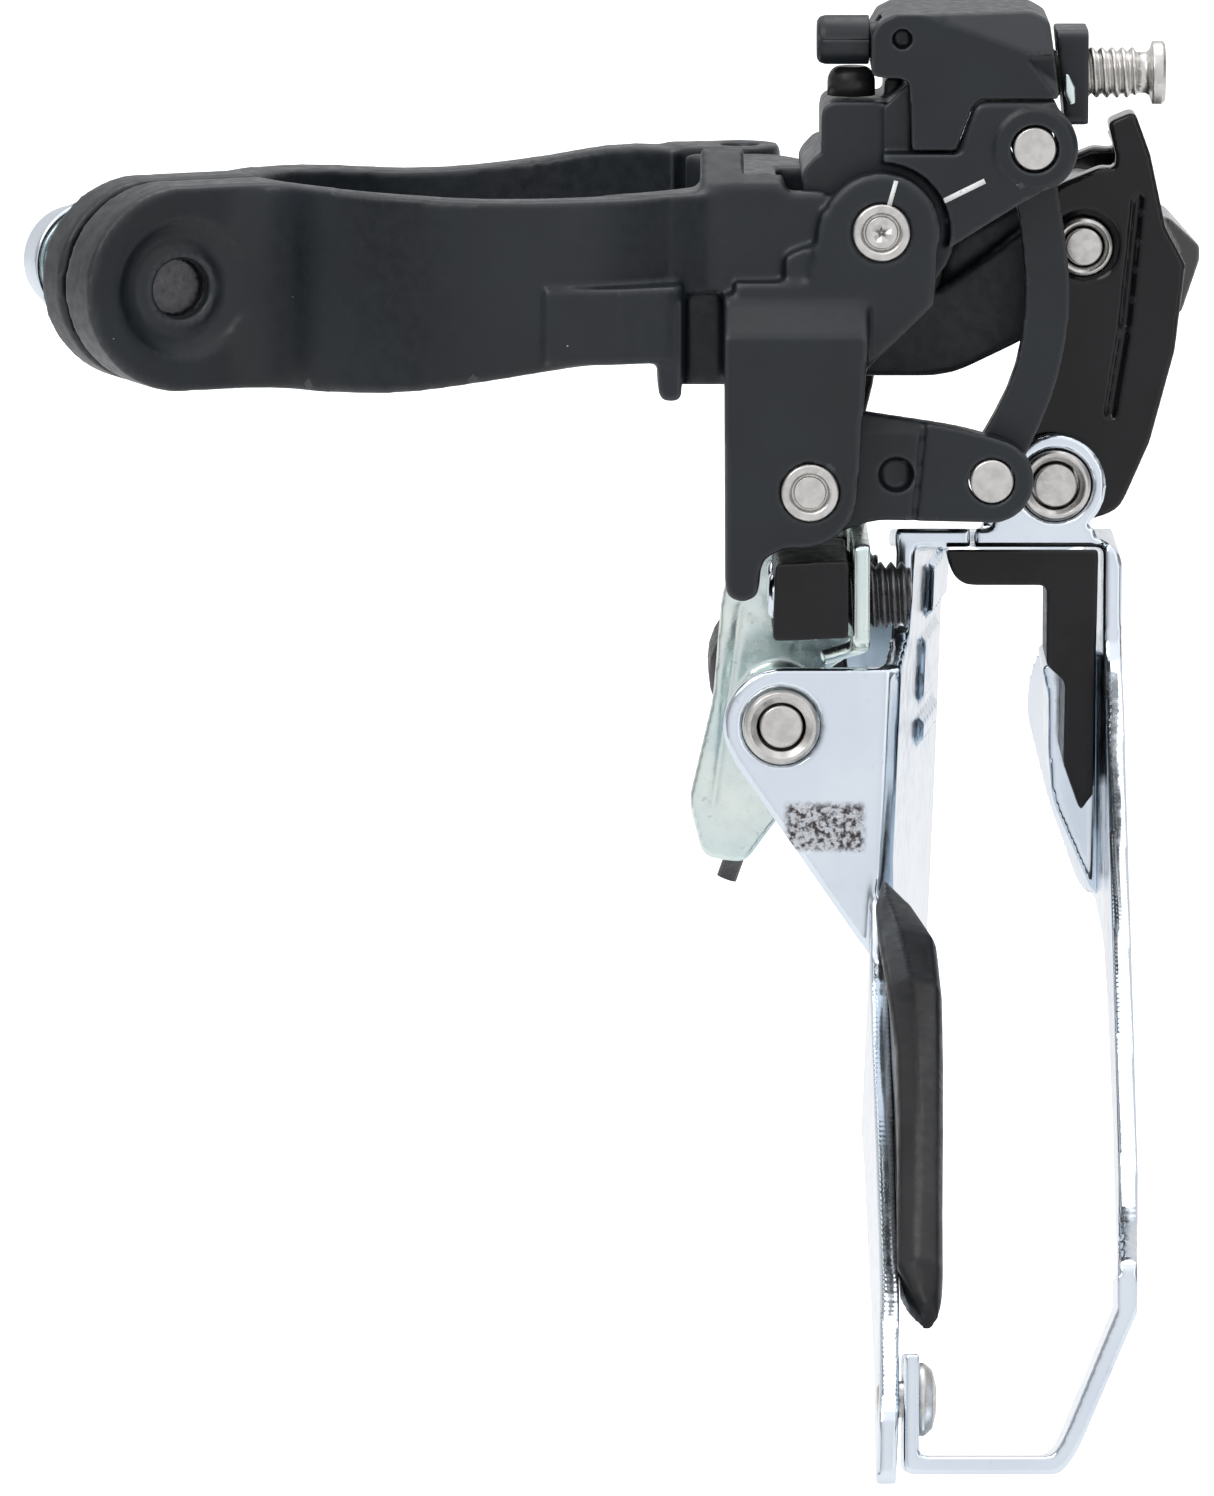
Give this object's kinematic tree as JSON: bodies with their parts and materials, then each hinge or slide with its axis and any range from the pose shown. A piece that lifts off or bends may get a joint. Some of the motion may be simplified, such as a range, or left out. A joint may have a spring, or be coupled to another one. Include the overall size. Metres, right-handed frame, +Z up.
{
  "type": "front derailleur",
  "caption": "Road bike front derailleur with a clamp band, toggle-link cable arm, parallelogram links and a plated steel chain cage",
  "frame": {"origin": "seat tube axis at mid height of the clamp band", "axes": "+Z up along the seat tube, +X outboard to the drive side, +Y towards the front of the bicycle"},
  "size_m": [0.0835, 0.1063, 0.0914],
  "materials": {
    "satin_black": "satin charcoal paint on cast aluminium",
    "gloss_black": "glossy black paint on a casting",
    "chrome_steel": "bright plated sheet steel",
    "zinc_steel": "clear zinc plate with a faint green cast",
    "stainless": "turned stainless steel",
    "spring_steel": "oiled spring wire",
    "black_resin": "matte moulded resin",
    "white_mark": "white index paint"
  },
  "bodies": {
    "bracket": {"base_bracket": "satin_black", "band_hinge_pin": "stainless", "arm_pivot_pin": "stainless", "inner_link_pin": "stainless", "outer_link_pin": "stainless"},
    "clamp_band": {"band_arm": "satin_black"},
    "clamp_screw": {"clamp_bolt": "chrome_steel", "clamp_washer": "zinc_steel"},
    "inner_link_body": {"inner_link": "zinc_steel", "crank_arm": "satin_black", "toggle_lower_pin": "stainless", "screw_block": "black_resin", "return_spring": "spring_steel"},
    "low_screw": {"low_limit_screw": "chrome_steel"},
    "high_screw": {"high_limit_screw": "chrome_steel"},
    "outer_link_body": {"outer_link": "gloss_black", "outer_link_bush_rear": "stainless", "outer_link_bush_front": "stainless"},
    "cage": {"cage_inner_plate": "chrome_steel", "cage_outer_plate": "chrome_steel", "cage_bush_inner_rear": "stainless", "cage_bush_inner_front": "stainless", "cage_bush_outer_rear": "stainless", "cage_bush_outer_front": "stainless", "cage_pin_inner": "stainless", "cage_pin_outer": "stainless", "tail_rivet": "stainless", "inner_skid_pad": "black_resin", "outer_skid_pad": "black_resin"},
    "arm": {"cable_arm": "satin_black", "toggle_upper_pin": "stainless", "cable_anchor_block": "satin_black", "anchor_slider": "satin_black", "adjuster_cap": "black_resin", "cable_washer_plate": "satin_black", "cable_clamp_tab": "zinc_steel"},
    "cable_screw": {"cable_bolt": "stainless"},
    "toggle": {"toggle_link": "satin_black"}
  },
  "joints": [
    {"name": "inner_link_swing", "type": "hinge", "parent": "bracket", "child": "inner_link_body", "pos_m": [0.0221, 0, -0.0137], "axis": [0, -1, 0], "range_deg": [0, 27], "stiffness_Nm_per_rad": 0.3, "springref_deg": -40.11},
    {"name": "outer_link_swing", "type": "hinge", "parent": "bracket", "child": "outer_link_body", "pos_m": [0.0412, 0, 0.0021], "axis": [0, -1, 0], "range_deg": [0, 27]},
    {"name": "cage_pivot", "type": "hinge", "parent": "inner_link_body", "child": "cage", "pos_m": [0.0202, 0, -0.0302], "axis": [0, -1, 0], "range_deg": [-27, 0]},
    {"name": "cable_arm_swing", "type": "hinge", "parent": "bracket", "child": "arm", "pos_m": [0.027, 0, 0.004], "axis": [0, -1, 0], "range_deg": [0, 41.04]},
    {"name": "toggle_link_swing", "type": "hinge", "parent": "arm", "child": "toggle", "pos_m": [0.0375, 0, 0.0097], "axis": [0, -1, 0], "range_deg": [-29.16, 0]},
    {"name": "clamp_band_opening", "type": "hinge", "parent": "bracket", "child": "clamp_band", "pos_m": [0.0176, 0.0147, 0], "axis": [0, 0, -1], "range_deg": [0, 4]},
    {"name": "clamp_bolt_turn", "type": "hinge", "parent": "bracket", "child": "clamp_screw", "pos_m": [-0.02284, -0.01017, 0], "axis": [-0.4067, 0.9135, 0], "continuous": true},
    {"name": "cable_bolt_turn", "type": "hinge", "parent": "arm", "child": "cable_screw", "pos_m": [0.04, -0.006, 0.0141], "axis": [1, 0, 0], "continuous": true},
    {"name": "low_limit_screw_turn", "type": "hinge", "parent": "inner_link_body", "child": "low_screw", "pos_m": [0.024, -0.014, -0.0213], "axis": [1, 0, 0], "continuous": true},
    {"name": "high_limit_screw_turn", "type": "hinge", "parent": "inner_link_body", "child": "high_screw", "pos_m": [0.024, -0.008, -0.0213], "axis": [1, 0, 0], "continuous": true}
  ],
  "couplings": [
    {"joint": "outer_link_swing", "follows": "inner_link_swing", "ratio": 1},
    {"joint": "cage_pivot", "follows": "inner_link_swing", "ratio": -1},
    {"joint": "cable_arm_swing", "follows": "inner_link_swing", "ratio": 1.52},
    {"joint": "toggle_link_swing", "follows": "inner_link_swing", "ratio": -1.08}
  ]
}
